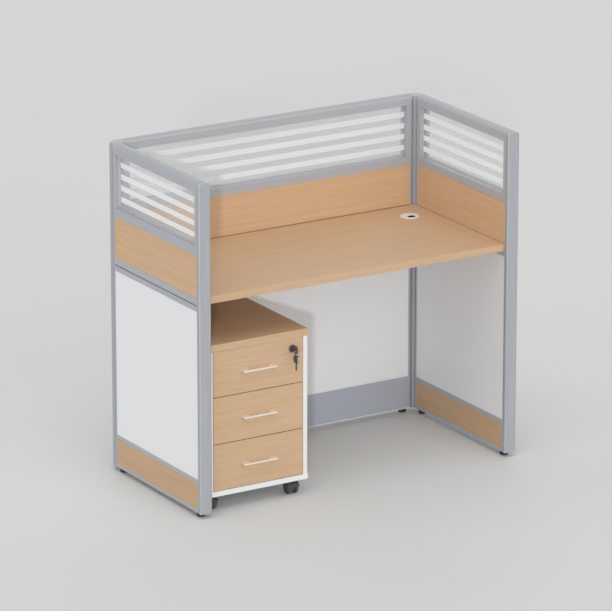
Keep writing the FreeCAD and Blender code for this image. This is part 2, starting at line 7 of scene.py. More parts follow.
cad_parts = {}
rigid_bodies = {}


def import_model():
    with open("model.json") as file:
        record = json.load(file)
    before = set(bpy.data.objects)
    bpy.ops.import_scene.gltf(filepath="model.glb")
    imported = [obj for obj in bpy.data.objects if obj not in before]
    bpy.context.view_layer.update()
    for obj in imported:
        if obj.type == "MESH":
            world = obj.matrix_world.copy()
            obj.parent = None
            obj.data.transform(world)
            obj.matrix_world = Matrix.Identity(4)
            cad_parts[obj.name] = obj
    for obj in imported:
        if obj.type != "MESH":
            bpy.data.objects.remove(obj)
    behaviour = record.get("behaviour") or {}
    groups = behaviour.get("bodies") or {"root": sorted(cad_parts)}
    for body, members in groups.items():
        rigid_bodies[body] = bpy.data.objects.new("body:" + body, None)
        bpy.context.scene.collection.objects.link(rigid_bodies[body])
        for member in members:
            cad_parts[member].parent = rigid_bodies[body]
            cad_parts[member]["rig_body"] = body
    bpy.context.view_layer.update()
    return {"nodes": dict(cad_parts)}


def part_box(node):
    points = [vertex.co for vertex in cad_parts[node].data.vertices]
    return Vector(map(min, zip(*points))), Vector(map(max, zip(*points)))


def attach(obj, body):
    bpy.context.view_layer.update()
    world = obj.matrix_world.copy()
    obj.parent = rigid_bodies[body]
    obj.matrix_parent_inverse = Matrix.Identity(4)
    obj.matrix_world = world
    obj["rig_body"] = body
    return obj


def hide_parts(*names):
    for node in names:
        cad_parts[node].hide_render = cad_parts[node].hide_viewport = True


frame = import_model()

# A screened office desk with a mobile drawer pedestal: its finishes, fine shapes and studio.
# Sizes are in millimetres here and become metres in the meshes.
# X runs to the sitter's right, Y to the back.

MM = 0.001
ALONG_X = (1, 0, 0)
ALONG_Y = (0, 1, 0)
ALONG_Z = (0, 0, 1)

# Places of the metals in a screen frame
BAR, UPRIGHT, CAP_TOP_SHADE, JOINT = range(4)

# Limits that tell edges and faces apart: distances, degrees, and cosines of a face's direction
weld = 0.001
touch = 0.01
edge_reach = 1.0
least_edge = 5.0
flat_angle = 0.5
sharp_angle = 40.0
smooth_angle = 35.0
squarely = 0.99
upward = 0.9
front_edge = 0.7
drawer_top = 0.8
# Cosines of a face's sideways direction that take the painted highlight on the end trims
highlight_facing = (0.2, 0.95)

# Roundings: facets of a wide one, and the widths on boards and fittings
round_segments = 7
worktop_ease = 1.0
carcass_ease = 0.6
front_ease = 0.3
handle_ease = 1.2

# Part of a noise pattern's values that is used
noise_low = 0.3
noise_high = 0.7

# Extrusions of the screen frames
stile_w = 10.0
lower_desk_rail_h = 18.6
desk_rail_gap = 2.8
cap_h = 16.0
cap_round = 8.0
bar_ease = 0.7
cover_half = 6.0
cap_joint_w = 1.0
trim_joint_w = 0.6
joint_d = 0.05
trim_round = 2.5
post_land = 8.0
post_steps = 12
bead_w = 6.0
bead_edge = 3.0
bead_d = 9.0
seal_w = 0.8
seal_proud = 0.4
bead_rise = 0.3
seam_gap = 2.0
front_seam_gap = 4.8
seam_recess = 0.3
seam_ease = 0.2

# Skirting of the back screen: the rounding of its sheet and the depth of its lip
sheet_ease = 0.3
lip_d = 3.4

# Etched bands on the glass, four to a pane, measured from the floor
band_spans = ((943.4, 961.8), (982.1, 1000.8), (1020.6, 1039.7), (1060.2, 1079.3))
band_film = 0.25
band_bond = 0.1

# A brown strip of painted shade where the worktop meets the screens, over the ledge before the
# panels: its lap on the worktop and its height
shade_strip_sizes = {"left": (0.0, 0.6), "back": (1.5, 2.0), "right": (0.0, 0.6)}
shade_strip_ease = 0.2

# Top of the pedestal: its rounding, and the width of the painted shade along its right edge
top_ease = 0.5
top_edge_shade_w = 2.6

# Camera, fitted to the straight edges of the photograph
photo_w = 612
camera_yaw = 31.32
camera_pitch = 17.347
camera_distance = 16298.0
camera_focal_px = 4879.6
camera_aim = (-15.3, 17.0, 548.5)
sensor_w = 36.0
sight_m = 200.0

# Studio: half the floor's side in metres, its mottling, and the lights' names, spreads in degrees,
# strengths and directions
floor_half_m = 60.0
floor_patch = 900.0
sky_strength = 0.6
lamps = (
    ("top_light", 45, 0.20, (-0.20, -0.30, 0.93)),
    ("key_light", 2, 0.24, (-0.534, -0.814, 0.231)),
    ("front_light", 60, 0.22, (0.0, -0.97, 0.20)),
    ("left_light", 60, 0.13, (-0.97, 0.12, 0.20)),
    ("back_light", 40, 0.14, (0.60, 0.77, 0.20)),
)


def linear(code):
    """A six-digit sRGB hex colour as the linear colour that a shader socket takes."""
    channels = [int(code[i:i + 2], 16) / 255 for i in (0, 2, 4)]
    return [c / 12.92 if c <= 0.04045 else ((c + 0.055) / 1.055) ** 2.4 for c in channels] + [1.0]


def add(mat, kind, sockets=None, links=None, **settings):
    """Add one shader node with its settings, its socket values and its links."""
    node = mat.node_tree.nodes.new("ShaderNode" + kind)
    for name, value in settings.items():
        setattr(node, name, value)
    for socket, value in (sockets or {}).items():
        node.inputs[socket].default_value = value
    for socket, source in (links or {}).items():
        mat.node_tree.links.new(source, node.inputs[socket])
    return node


def finish(name, slot, colour, roughness, **sockets):
    """A new material with plain values on its shader; sockets are named with underscores."""
    mat = bpy.data.materials.new(name)
    mat.use_nodes = True
    mat["slot"] = slot
    shader = mat.node_tree.nodes["Principled BSDF"]
    shader.inputs["Base Color"].default_value = linear(colour)
    shader.inputs["Roughness"].default_value = roughness
    for socket, value in sockets.items():
        shader.inputs[socket.replace("_", " ")].default_value = value
    return mat


def grain(mat, spans, detail=3.0, distortion=0.0):
    """A cloudy pattern whose patches measure the given millimetres along X, Y and Z."""
    place = add(mat, "TexCoord")
    sized = add(mat, "Mapping", {"Scale": [1 / (span * MM) for span in spans]},
                {"Vector": place.outputs["Object"]})
    cloud = add(mat, "TexNoise", {"Scale": 1.0, "Detail": detail, "Distortion": distortion},
                {"Vector": sized.outputs["Vector"]})
    return cloud.outputs[0]


def dress(mat, pattern, colours, roughness, relief):
    """Let one pattern change a material's colour, gloss and height (in millimetres)."""
    shader = mat.node_tree.nodes["Principled BSDF"]
    sharper = add(mat, "MapRange", {"From Min": noise_low, "From Max": noise_high},
                  {"Value": pattern})
    tone = add(mat, "Mix", {6: linear(colours[0]), 7: linear(colours[1])},
               {0: sharper.outputs[0]}, data_type="RGBA")
    gloss = add(mat, "MapRange", {"To Min": roughness[0], "To Max": roughness[1]},
                {"Value": sharper.outputs[0]})
    height = add(mat, "Bump", {"Strength": 1.0, "Distance": relief * MM}, {"Height": pattern})
    links = mat.node_tree.links
    links.new(tone.outputs[2], shader.inputs["Base Color"])
    links.new(gloss.outputs[0], shader.inputs["Roughness"])
    links.new(height.outputs[0], shader.inputs["Normal"])
    return mat


def spans_along(axis, length, across):
    """Pattern sizes for fibres or draw lines: their length along an axis, their width across it."""
    return [length if step else across for step in axis]


def evenly(span):
    """One pattern size along X, Y and Z."""
    return (span, span, span)


# Finishes

def anodised_aluminium(name, axis, dull, bright):
    """Satin anodised extrusion: a cool grey that is lit softly, with fine draw lines along the bar.
    The lines are drawn ten times coarser than real ones, so that they show."""
    mat = finish(name, "anodised_aluminium", bright, 0.5, Metallic=0.3)
    lines = grain(mat, spans_along(axis, length=260.0, across=1.6), detail=2.0)
    return dress(mat, lines, (dull, bright), (0.45, 0.58), 0.02)


def beech_foil(name, axis, pale, dark, pores):
    """Beech-effect laminate: a pale tan ground with long straight bands and short fine pores."""
    mat = finish(name, "beech_laminate", pale, 0.46)
    shader = mat.node_tree.nodes["Principled BSDF"]
    bands = grain(mat, spans_along(axis, length=420.0, across=9.0), detail=4.0, distortion=0.35)
    fibres = grain(mat, spans_along(axis, length=80.0, across=1.7), detail=4.0)
    banded = add(mat, "MapRange", {"From Min": 0.28, "From Max": 0.76}, {"Value": bands})
    ground = add(mat, "Mix", {6: linear(dark), 7: linear(pale)}, {0: banded.outputs[0]},
                 data_type="RGBA")
    pored = add(mat, "MapRange", {"From Min": 0.5, "From Max": 0.72, "To Max": 0.42},
                {"Value": fibres})
    wood = add(mat, "Mix", {7: linear(pores)}, {0: pored.outputs[0], 6: ground.outputs[2]},
               data_type="RGBA")
    gloss = add(mat, "MapRange", {"To Min": 0.40, "To Max": 0.54}, {"Value": fibres})
    height = add(mat, "Bump", {"Strength": 1.0, "Distance": 0.03 * MM}, {"Height": fibres})
    links = mat.node_tree.links
    links.new(wood.outputs[2], shader.inputs["Base Color"])
    links.new(gloss.outputs[0], shader.inputs["Roughness"])
    links.new(height.outputs[0], shader.inputs["Normal"])
    return mat


def white_melamine(name, dull, clean):
    """White melamine board: clean, nearly even, with the faint pebble of its press plate."""
    mat = finish(name, "white_laminate", clean, 0.42)
    return dress(mat, grain(mat, evenly(3.0)), (dull, clean), (0.38, 0.48), 0.02)


def lip_painted_highlight():
    """The lip under the skirting in a pale, nearly white tone: a painted highlight for the light
    that it catches as a thin line.
    """
    mat = finish("lip_painted_highlight", "grey_painted_steel", "EEF0F1", 0.5)
    return dress(mat, grain(mat, evenly(2.5)), ("E9EBEC", "F3F5F6"), (0.44, 0.56), 0.02)


def drawer_seam_shade_band():
    """Painted shade on the upper edges of the middle and bottom drawer fronts: a deep brown that
    stands for the shadow in the seam between two drawers.
    """
    mat = finish("drawer_seam_shade_band", "beech_laminate", "976838", 0.55)
    return dress(mat, grain(mat, (40.0, 1.2, 1.2)), ("8C5E32", "A0703E"), (0.48, 0.62), 0.02)


def junction_shade_strip():
    """Painted shade along the worktop's joints with the screens: a dull mid brown with faint lines,
    standing for the shadow in the joint.
    """
    mat = finish("junction_shade_strip", "beech_laminate", "8C6646", 0.6)
    return dress(mat, grain(mat, evenly(2.0)), ("866142", "926B4A"), (0.54, 0.68), 0.02)


def top_edge_shade_band():
    """Painted shade on the pedestal top's free side: a dark brown line along the board's upper edge
    that stands for the shadow at its far edge.
    """
    mat = finish("top_edge_shade_band", "beech_laminate", "6B5442", 0.55)
    return dress(mat, grain(mat, (1.2, 40.0, 1.2)), ("624C3B", "745C49"), (0.48, 0.62), 0.02)


def drawer_foil():
    """The foil on the drawer boxes: a duller grey white than the carcass."""
    mat = finish("drawer_foil", "drawer_board", "D9D8D4", 0.55)
    return dress(mat, grain(mat, evenly(5.0)), ("D4D3CF", "DEDDD9"), (0.48, 0.6), 0.03)


def powder_coat():
    """Grey powder-coated steel sheet: a cool mid grey with the orange peel of the melted powder."""
    mat = finish("powder_coat", "grey_painted_steel", "A8ADB7", 0.5)
    return dress(mat, grain(mat, evenly(1.8)), ("A3A8B2", "ADB2BC"), (0.42, 0.56), 0.03)


def black_nylon_and_shade():
    """Black moulded nylon: a charcoal with a fine spark-eroded texture that scatters highlights.
    The same black is painted shade in the gap between the desk rails, inside the grommet's sleeve
    and on its cap's slot walls.
    """
    mat = finish("black_nylon_and_shade", "black_plastic", "2B2D2F", 0.5)
    return dress(mat, grain(mat, evenly(1.2)), ("252729", "343638"), (0.42, 0.6), 0.03)


def charcoal_nylon():
    """Caster nylon: a dark charcoal, softly lit, with a fine moulded texture."""
    mat = finish("charcoal_nylon", "black_plastic", "424446", 0.5)
    return dress(mat, grain(mat, evenly(1.2)), ("3C3E40", "4A4C4E"), (0.42, 0.6), 0.03)


def key_cover():
    """Key covers: brown black ABS, matt, with the soft sheen of handled plastic."""
    mat = finish("key_cover", "black_plastic", "514946", 0.5)
    return dress(mat, grain(mat, evenly(1.0)), ("4A4340", "59504D"), (0.42, 0.6), 0.02)


def rubber_gasket():
    """Gasket in the end trims: mid grey, dull rubber with faint die lines."""
    mat = finish("rubber_gasket", "black_plastic", "83878C", 0.75)
    return dress(mat, grain(mat, evenly(2.0)), ("7D8186", "898D92"), (0.68, 0.82), 0.02)


def cap_gasket_and_seam_shade():
    """Dark grey, dull rubber with faint die lines: the gasket in the caps' joints, and painted
    shade in the upright seams.
    """
    mat = finish("cap_gasket_and_seam_shade", "black_plastic", "6A6E73", 0.75)
    return dress(mat, grain(mat, evenly(2.0)), ("65696E", "6F7378"), (0.68, 0.82), 0.02)


def clear_silicone():
    """The glazing seal: a milky grey silicone with a soft, slightly oily sheen."""
    mat = finish("clear_silicone", "striped_glass", "C4C8CB", 0.45)
    return dress(mat, grain(mat, evenly(2.5)), ("BEC2C5", "CACED1"), (0.38, 0.52), 0.02)


def glass_face_light_finish():
    """Glazing tape between bead and glass, matt, with the fine cells of foam; its near-white is
    painted light that lifts the shade between bead and glass.
    """
    mat = finish("glass_face_light_finish", "striped_glass", "E2E4E5", 0.8)
    return dress(mat, grain(mat, evenly(1.5)), ("DBDDDE", "E9EBEC"), (0.72, 0.88), 0.03)


def ivory_abs():
    """Ivory ABS of the cable grommet: warm white, moulded smooth, with a soft gloss."""
    mat = finish("ivory_abs", "ivory_plastic", "E4E1DA", 0.38)
    return dress(mat, grain(mat, evenly(2.2)), ("DFDCD4", "E8E6E0"), (0.32, 0.44), 0.015)


def satin_nickel():
    """Satin lacquered handle metal: warm and pale, brushed lightly along the grip."""
    mat = finish("satin_nickel", "satin_handle_metal", "EFE5DC", 0.36, Metallic=0.35)
    lines = grain(mat, spans_along(ALONG_X, length=40.0, across=0.9), detail=2.0)
    return dress(mat, lines, ("E9DED4", "F4ECE4"), (0.30, 0.44), 0.01)


def zinc_plate():
    """Zinc-plated steel: a bluish grey metal with the cloudy bloom of the plating bath."""
    mat = finish("zinc_plate", "zinc_steel", "B9BCBE", 0.38, Metallic=1.0)
    return dress(mat, grain(mat, evenly(9.0)), ("AEB1B4", "C4C6C8"), (0.30, 0.48), 0.01)


def dark_bronze():
    """The lock's dark plated metal: brown black with a worn sheen."""
    mat = finish("dark_bronze", "lock_metal", "665D5A", 0.4, Metallic=0.5)
    return dress(mat, grain(mat, evenly(1.6)), ("5A5250", "726965"), (0.32, 0.5), 0.01)


def nickel_silver():
    """Key blades: bright nickel silver with fine scratches along the blade."""
    mat = finish("nickel_silver", "lock_metal", "C9C6BF", 0.3, Metallic=1.0)
    return dress(mat, grain(mat, (0.8, 6.0, 6.0)), ("BDBAB3", "D4D1CA"), (0.22, 0.4), 0.005)


def float_glass(name, dull, bright, veil):
    """Float glass: clear enough for light to pass, with a faint grey veil and a sharp sheen."""
    mat = finish(name, "striped_glass", bright, 0.06, Alpha=veil, IOR=1.4)
    return dress(mat, grain(mat, evenly(60.0), detail=1.0), (dull, bright), (0.04, 0.10), 0.0)


def etched_band(name, dull, bright, cover):
    """Etched bands on the glass: a white frosted film that lets a little light through."""
    mat = finish(name, "striped_glass", bright, 0.6, Alpha=cover)
    return dress(mat, grain(mat, evenly(4.0)), (dull, bright), (0.52, 0.68), 0.0)


aluminium = {axis: anodised_aluminium("anodised_bar_" + letter, axis, "ADB0B5", "BABDC2")
             for axis, letter in ((ALONG_X, "x"), (ALONG_Y, "y"), (ALONG_Z, "z"))}
# A darker copy of the bar aluminium for the caps' upward faces: painted shade
cap_top_shade_aluminium = {axis: anodised_aluminium("anodised_cap_top_shade_" + letter, axis, "9DA0A5", "AAADB2")
                 for axis, letter in ((ALONG_X, "x"), (ALONG_Y, "y"))}
trim_aluminium = anodised_aluminium("anodised_trim", ALONG_Z, "A6A9AE", "B3B6BB")
# A brighter copy of the trim aluminium for the trims' rounded edges: a painted highlight
trim_edge_highlight_aluminium = anodised_aluminium("anodised_trim_edge_highlight", ALONG_Z, "ADB0B5", "BABDC2")
beech_x = beech_foil("beech_foil_x", ALONG_X, "D4B290", "CAA680", "B48B66")
beech_y = beech_foil("beech_foil_y", ALONG_Y, "D4B290", "CAA680", "B48B66")
# A darker copy of the beech for faces that look to the front and for the drawer fronts: painted
# shade
beech_fronts_shaded = beech_foil("beech_fronts_shaded", ALONG_X, "CEAF8F", "C5A481", "B18B68")
white = white_melamine("white_melamine", "E3E4E6", "E9EAEC")
warm_white = white_melamine("warm_white_melamine", "E3E1DD", "E9E7E3")
# A darker copy of the beech for the low kick panels: painted shade
beech_kick_shaded = beech_foil("beech_kick_shaded", ALONG_Y, "C9A989", "BF9D79", "AB8461")
lip = lip_painted_highlight()
drawer_seam_shade = drawer_seam_shade_band()
painted_junction_shade = junction_shade_strip()
top_edge_shade = top_edge_shade_band()
foil = drawer_foil()
grey_paint = powder_coat()
black = black_nylon_and_shade()
nylon = charcoal_nylon()
cover = key_cover()
rubber = rubber_gasket()
dark_gasket_and_seam_shade = cap_gasket_and_seam_shade()
silicone = clear_silicone()
glass_face_light = glass_face_light_finish()
ivory = ivory_abs()
handle_metal = satin_nickel()
zinc = zinc_plate()
bronze = dark_bronze()
nickel = nickel_silver()
# The panes and bands take tones set for the light on each side, painted light and shade on one
# glass and one film: the left glass a whiter veil, the back glass a darker one, the back bands
# bluish against warm bounced light, the right bands brighter and denser
glass = {"left": float_glass("float_glass_left", "EBEEF0", "F1F4F6", 0.2),
         "back": float_glass("float_glass_back", "ACB2B3", "B4BABB", 0.15),
         "right": float_glass("float_glass_right", "D3D7D9", "D9DDDF", 0.19)}
etching = {"left": etched_band("etched_band_left", "F8FAFC", "FDFEFF", 0.7),
           "back": etched_band("etched_band_back", "E8ECF0", "EDF1F5", 0.88),
           "right": etched_band("etched_band_right", "F3FAFE", "F7FDFF", 0.96)}


# How pieces are made

def make(name, bm, materials, body, *nodes):
    """Turn a bmesh into a piece that rides on a body and may stand for CAD nodes."""
    mesh = bpy.data.meshes.new(name)
    bm.to_mesh(mesh)
    bm.free()
    for mat in materials:
        mesh.materials.append(mat)
    mesh.polygons.foreach_set("use_smooth", [True] * len(mesh.polygons))
    mesh.set_sharp_from_angle(angle=math.radians(smooth_angle))
    piece = bpy.data.objects.new(name, mesh)
    bpy.context.scene.collection.objects.link(piece)
    even = piece.modifiers.new("even_faces", "WEIGHTED_NORMAL")
    even.keep_sharp = True
    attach(piece, body)
    if nodes:
        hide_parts(*nodes)
    return piece


def paint(mat, *nodes):
    """Give CAD nodes that stay in view their finish."""
    for node in nodes:
        for slot in frame["nodes"][node].material_slots:
            slot.material = mat


def body_of(node):
    """The name of the body that a CAD node rides on."""
    return frame["nodes"][node]["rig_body"]


def eased(node, materials, width, pick=None, least=least_edge, segments=2, where=None,
          carve=None):
    """A copy of a CAD node with its sharp edges eased, all or those where a test holds.
    pick gives a face its material's place; carve works on the mesh before it is finished."""
    bm = bmesh.new()
    bm.from_mesh(frame["nodes"][node].data)
    bmesh.ops.remove_doubles(bm, verts=bm.verts, dist=weld * MM)
    bmesh.ops.dissolve_limit(bm, angle_limit=math.radians(flat_angle), verts=bm.verts,
                             edges=bm.edges)
    sharp = [edge for edge in bm.edges
             if len(edge.link_faces) == 2 and edge.calc_face_angle() > math.radians(sharp_angle)
             and edge.calc_length() > least * MM and (where is None or where(edge))]
    bmesh.ops.bevel(bm, geom=sharp, offset=width * MM, offset_type="OFFSET", affect="EDGES",
                    segments=segments, profile=0.5, material=-1, clamp_overlap=True)
    if carve:
        carve(bm)
    for face in bm.faces:
        face.material_index = pick(face) if pick else 0
    return make(node + "_eased", bm, materials, body_of(node), node)


def block(bm, low, high, ease, place=0, segments=2):
    """Add a box between two corners, with eased edges, to a bmesh."""
    known = set(bm.faces)
    size = high - low
    stand = Matrix.Translation((low + high) / 2) @ Matrix.Diagonal((*size, 1))
    cube = bmesh.ops.create_cube(bm, size=1, matrix=stand)
    edges = list({edge for vert in cube["verts"] for edge in vert.link_edges})
    bmesh.ops.bevel(bm, geom=edges, offset=ease * MM, offset_type="OFFSET", affect="EDGES",
                    segments=segments, profile=0.5, material=-1)
    for face in bm.faces:
        if face not in known:
            face.material_index = place


def turned(bm, profile, centre, axis, steps=40, closed=False, place=0):
    """Add a turned shape: profile points are (radius, distance along the axis) in millimetres."""
    known = set(bm.faces)
    axis = Vector(axis)
    side = axis.orthogonal().normalized()
    verts = [bm.verts.new(centre + side * r * MM + axis * d * MM) for r, d in profile]
    ends = verts[1:] + verts[:1] if closed else verts[1:]
    edges = [bm.edges.new(pair) for pair in zip(verts, ends)]
    bmesh.ops.spin(bm, geom=verts + edges, cent=centre, axis=axis, angle=math.tau, steps=steps,
                   use_merge=True)
    faces = [face for face in bm.faces if face not in known]
    corners = list({vert for face in faces for vert in face.verts})
    bmesh.ops.remove_doubles(bm, verts=corners, dist=weld * MM)
    faces = [face for face in bm.faces if face not in known]
    bmesh.ops.recalc_face_normals(bm, faces=faces)
    for face in faces:
        face.material_index = place


def whole(bm):
    """All faces, edges and corners of a mesh."""
    return bm.faces[:] + bm.edges[:] + bm.verts[:]


# Screens

def score(bm, geom, across, line, width, outward):
    """Sink one fine joint into the faces of a bar that look one way; returns the joint's floor."""
    plane = Vector((0, 0, 0))
    plane[across] = 1
    for step in (-width / 2, width / 2):
        geom = bmesh.ops.bisect_plane(bm, geom=geom, plane_no=plane, dist=weld * MM,
                                      plane_co=plane * (line + step * MM))["geom"]
    strips = [face for face in geom
              if isinstance(face, bmesh.types.BMFace) and face.normal.dot(outward) > squarely
              and abs(face.calc_center_median()[across] - line) < width / 2 * MM]
    sunk = bmesh.ops.extrude_face_region(bm, geom=strips)["geom"]
    verts = [item for item in sunk if isinstance(item, bmesh.types.BMVert)]
    bmesh.ops.translate(bm, verts=verts, vec=-joint_d * MM * outward)
    return [item for item in sunk if isinstance(item, bmesh.types.BMFace)]


def run_of(side):
    """The axis that a screen runs along: 0 for the back, 1 for the sides."""
    return 0 if side == "back" else 1


def seams_of(side):
    """Widths of the seams at a screen's two ends: wider where the proud end trim hides a part."""
    return (seam_gap if side == "back" else front_seam_gap) * MM, seam_gap * MM


def screen_frame(side):
    """Stiles, glass jambs, rails and a rounded cap, each an extrusion with eased edges."""
    run = run_of(side)
    low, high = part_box(side + "_frame")
    panel_low, panel_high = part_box(side + "_upper_panel")
    centre_low, centre_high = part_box(side + "_centre_panel")
    glass_low, glass_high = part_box(side + "_glass")
    # The back screen has a skirting there, and its rails line up with those of the sides
    kick_low, kick_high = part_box("left_kick_panel")
    z_cap = high.z - cap_h * MM
    z_gap = centre_high.z + lower_desk_rail_h * MM
    rails = (
        (low.z, kick_low.z),
        (kick_high.z, centre_low.z),
        (centre_high.z, z_gap),
        (z_gap + desk_rail_gap * MM, panel_low.z),
        (panel_high.z, glass_low.z),
        (glass_high.z, z_cap),
    )
    bm = bmesh.new()
    stile = stile_w * MM
    seam, far_seam = seams_of(side)
    stiles = ((low[run] + seam, low[run] + stile), (high[run] - stile, high[run] - far_seam))
    for start, end in stiles:
        near, far = low.copy(), high.copy()
        near[run], far[run] = start, end
        far.z = z_cap
        block(bm, near, far, bar_ease, UPRIGHT)
    jambs = ((low[run] + stile, glass_low[run]), (glass_high[run], high[run] - stile))
    for start, end in jambs:
        near, far = low.copy(), high.copy()
        near[run], far[run] = start, end
        near.z, far.z = glass_low.z, glass_high.z
        block(bm, near, far, bar_ease, UPRIGHT)
    for z0, z1 in rails:
        near, far = low.copy(), high.copy()
        near[run] += stile
        far[run] -= stile
        near.z, far.z = z0, z1
        block(bm, near, far, bar_ease, BAR)
    near, far = low.copy(), high.copy()
    near.z = z_cap
    cap(bm, near, far, run)
    lengthwise = ALONG_X if run == 0 else ALONG_Y
    metals = [aluminium[lengthwise], aluminium[ALONG_Z], cap_top_shade_aluminium[lengthwise], dark_gasket_and_seam_shade]
    make(side + "_frame_bars", bm, metals, "screens", side + "_frame")


def cap(bm, low, high, run):
    """The top extrusion: a bar with two rounded shoulders and one dark joint along its top. Its
    upward faces take a darker copy of the aluminium as painted shade.
    """
    known = set(bm.faces)
    stand = Matrix.Translation((low + high) / 2) @ Matrix.Diagonal((*(high - low), 1))
    cube = bmesh.ops.create_cube(bm, size=1, matrix=stand)
    edges = {edge for vert in cube["verts"] for edge in vert.link_edges}
    shoulders = [edge for edge in edges
                 if min(vert.co.z for vert in edge.verts) > (low.z + high.z) / 2
                 and abs((edge.verts[0].co - edge.verts[1].co)[run]) > stile_w * MM]
    bmesh.ops.bevel(bm, geom=shoulders, offset=cap_round * MM, offset_type="OFFSET", affect="EDGES",
                    segments=round_segments, profile=0.5, material=-1)
    faces = [face for face in bm.faces if face not in known]
    geom = faces + list({edge for face in faces for edge in face.edges})
    geom += list({vert for face in faces for vert in face.verts})
    across = 1 - run
    line = (low[across] + high[across]) / 2 + cover_half * MM
    joint = score(bm, geom, across, line, cap_joint_w, Vector(ALONG_Z))
    bm.normal_update()
    # Upward faces take the darker aluminium as painted shade, the rest take the bar's
    for face in bm.faces:
        if face not in known:
            face.material_index = CAP_TOP_SHADE if face.normal.z > upward else BAR
    for face in joint:
        face.material_index = JOINT


def pane_ring(bm, side, hand, inset, width, lean, depth, rise):
    """Add a mitred ring on one face of a pane: inset from its edge, leaning to a narrower front.
    Its face against the glass takes the second material."""
    low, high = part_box(side + "_glass")
    run = run_of(side)
    across = 1 - run
    face = high[across] if hand > 0 else low[across]
    size = high - low
    flat = Matrix.Diagonal((size[run] / 2 - inset * MM, size.z / 2 - inset * MM, 1, 1))
    # Lay the grid's X along the screen and its Y upright
    if across == 1:
        turn = Matrix(((1, 0, 0), (0, 0, -1), (0, 1, 0))).to_4x4()
    else:
        turn = Matrix(((0, 0, 1), (1, 0, 0), (0, 1, 0))).to_4x4()
    centre = (low + high) / 2
    centre[across] = face + hand * rise * MM
    grid = bmesh.ops.create_grid(bm, x_segments=1, y_segments=1, size=1,
                                 matrix=Matrix.Translation(centre) @ turn @ flat)
    middle = list({face for vert in grid["verts"] for face in vert.link_faces})
    rims = bmesh.ops.inset_region(bm, faces=middle, thickness=width * MM, use_boundary=True,
                                  use_even_offset=True)["faces"]
    bmesh.ops.delete(bm, geom=middle, context="FACES_ONLY")
    lifted = bmesh.ops.extrude_face_region(bm, geom=rims, use_keep_orig=True)
    for face in rims:
        face.material_index = 1
    verts = [item for item in lifted["geom"] if isinstance(item, bmesh.types.BMVert)]
    out = Vector((0, 0, 0))
    out[across] = hand * depth * MM
    bmesh.ops.translate(bm, verts=verts, vec=out)
    reach = max(abs(vert.co.z - centre.z) for vert in verts)
    for vert in verts:
        if abs(vert.co.z - centre.z) < reach - width * MM / 2:
            vert.co.z += math.copysign(lean * MM, vert.co.z - centre.z)
            vert.co[run] += math.copysign(lean * MM, vert.co[run] - centre[run])


def glazing(side):
    """Sloped beads on the outer face of a pane, and a thin seal round both its faces."""
    lengthwise = ALONG_X if run_of(side) == 0 else ALONG_Y
    outer = -1 if side == "left" else 1
    beads = bmesh.new()
    seals = bmesh.new()
    pane_ring(beads, side, outer, 0, bead_w, bead_w - bead_edge, bead_d, bead_rise)
    pane_ring(seals, side, outer, bead_w, seal_w, seal_w / 2, seal_proud, 0)
    pane_ring(seals, side, -outer, 0, seal_w, seal_w / 2, seal_proud, 0)
    for bm in (beads, seals):
        bmesh.ops.recalc_face_normals(bm, faces=bm.faces)
    # The faces against the glass take the near-white, painted light
    make(side + "_glazing_beads", beads, [aluminium[lengthwise], glass_face_light], "screens")
    make(side + "_glass_seal", seals, [silicone, glass_face_light], "screens")


def glass_bands(side):
    """Four etched bands on the face of a pane that looks left or to the front."""
    run = run_of(side)
    across = 1 - run
    low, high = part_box(side + "_glass")
    inset = (bead_w + seal_w if side == "left" else seal_w) * MM
    bm = bmesh.new()
    for z0, z1 in band_spans:
        near, far = low.copy(), high.copy()
        near[run] += inset
        far[run] -= inset
        near.z, far.z = z0 * MM, z1 * MM
        near[across] -= band_film * MM
        far[across] = low[across] + band_bond * MM
        block(bm, near, far, band_film / 4, segments=1)
    make(side + "_glass_bands", bm, [etching[side]], "screens")


def seam_strips(side):
    """Dark strips of painted shade that show in the gap between the two desk rails and in the seams
    beside the stiles.
    """
    run = run_of(side)
    across = 1 - run
    low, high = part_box(side + "_frame")
    z_cap = high.z - cap_h * MM
    z_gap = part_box(side + "_centre_panel")[1].z + lower_desk_rail_h * MM
    seam, far_seam = seams_of(side)
    stile = stile_w * MM
    # The desk-rail gap takes the black and the seams beside the stiles the dark grey: both are
    # painted shade
    strips = (
        (low[run] + stile, high[run] - stile, z_gap, z_gap + desk_rail_gap * MM, 0),
        (low[run], low[run] + seam, low.z, z_cap, 1),
        (high[run] - far_seam, high[run], low.z, z_cap, 1),
    )
    bm = bmesh.new()
    for start, end, z0, z1, place in strips:
        near, far = low.copy(), high.copy()
        near[run], far[run] = start, end
        near[across] += seam_recess * MM
        far[across] -= seam_recess * MM
        near.z, far.z = z0, z1
        block(bm, near, far, seam_ease, place, segments=1)
    make(side + "_seam_strips", bm, [black, dark_gasket_and_seam_shade], "screens")


def end_trim(side):
    """The trim on a screen's front end: rounded edges brightened by a painted highlight, and a dark
    joint up its middle.
    """
    low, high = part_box(side + "_end_trim")
    middle = (low.x + high.x) / 2

    def metal(face):
        if face.normal.y < -squarely and face.calc_center_median().y > low.y + joint_d / 2 * MM:
            return 2
        # Faces turned partly sideways, on the rounded edges, take the brighter aluminium as a
        # painted highlight
        return 1 if highlight_facing[0] < abs(face.normal.x) < highlight_facing[1] else 0

    eased(side + "_end_trim", [trim_aluminium, trim_edge_highlight_aluminium, rubber], trim_round, metal,
          segments=3,
          carve=lambda bm: score(bm, whole(bm), 0, middle, trim_joint_w, -Vector(ALONG_Y)))


